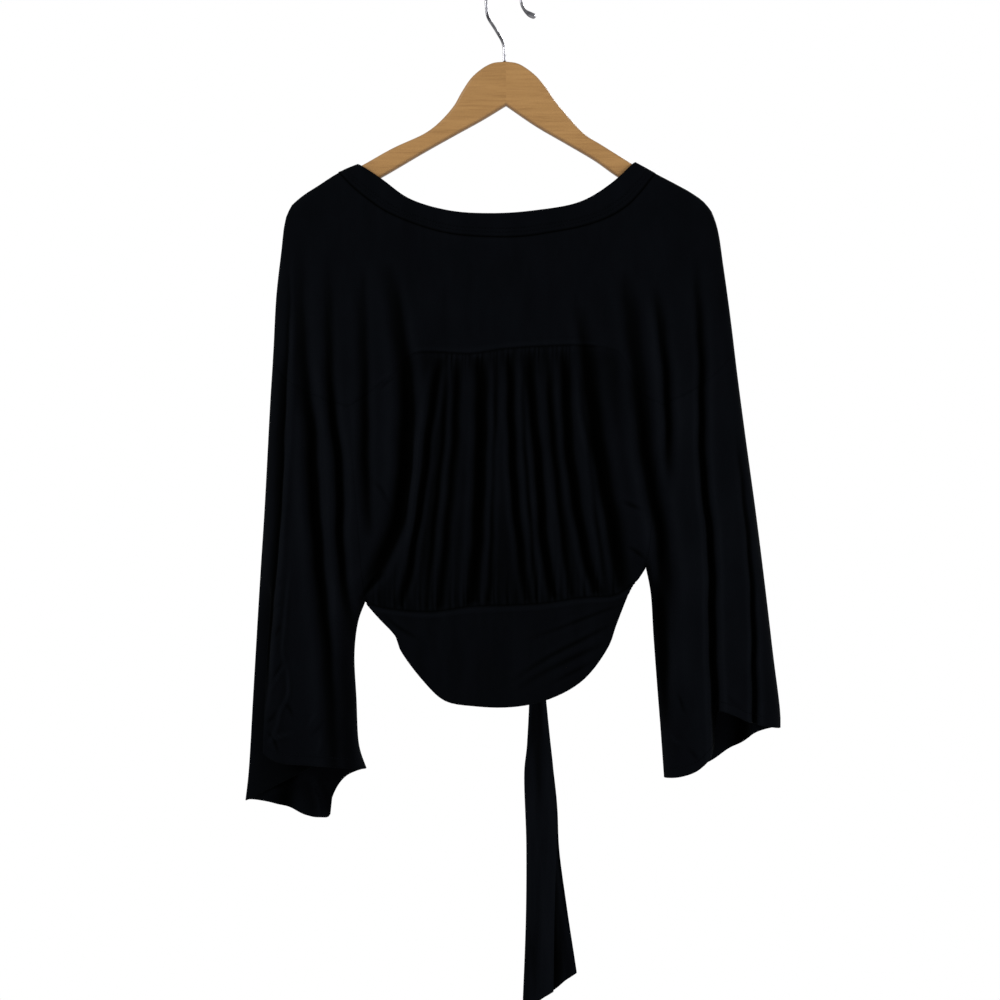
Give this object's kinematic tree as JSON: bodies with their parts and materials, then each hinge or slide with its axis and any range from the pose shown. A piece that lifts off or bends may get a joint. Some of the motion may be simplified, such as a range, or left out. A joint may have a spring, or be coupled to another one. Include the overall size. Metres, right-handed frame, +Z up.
{
  "type": "wrap top on a clothes hanger",
  "caption": "Batwing wrap top in dark jersey with bell sleeves, gathered body, deep waistband and front tie, hanging on a wooden hanger.",
  "frame": {"origin": "inside top of the hanger's hook, where a rail bears", "axes": "+Z up along the hanging garment, +X to the right as seen from behind (the wearer's right), -Y towards the garment's back"},
  "size_m": [0.5616, 0.0819, 1.0928],
  "materials": {
    "jersey": "soft matt knitted jersey, near black",
    "wood": "clear satin lacquer on pale hardwood",
    "chrome_wire": "bright plated wire"
  },
  "bodies": {
    "root": {"back_yoke": "jersey", "back_body": "jersey", "front_left": "jersey", "front_right": "jersey", "sleeve_left": "jersey", "sleeve_right": "jersey", "neckband_back": "jersey", "neckband_left": "jersey", "neckband_right": "jersey", "waistband_back": "jersey", "waistband_left": "jersey", "waistband_right": "jersey", "tie_knot": "jersey", "tie_tail_left": "jersey", "tie_tail_right": "jersey", "hanger_arm_left": "wood", "hanger_arm_right": "wood", "hanger_hook": "chrome_wire"}
  },
  "joints": []
}
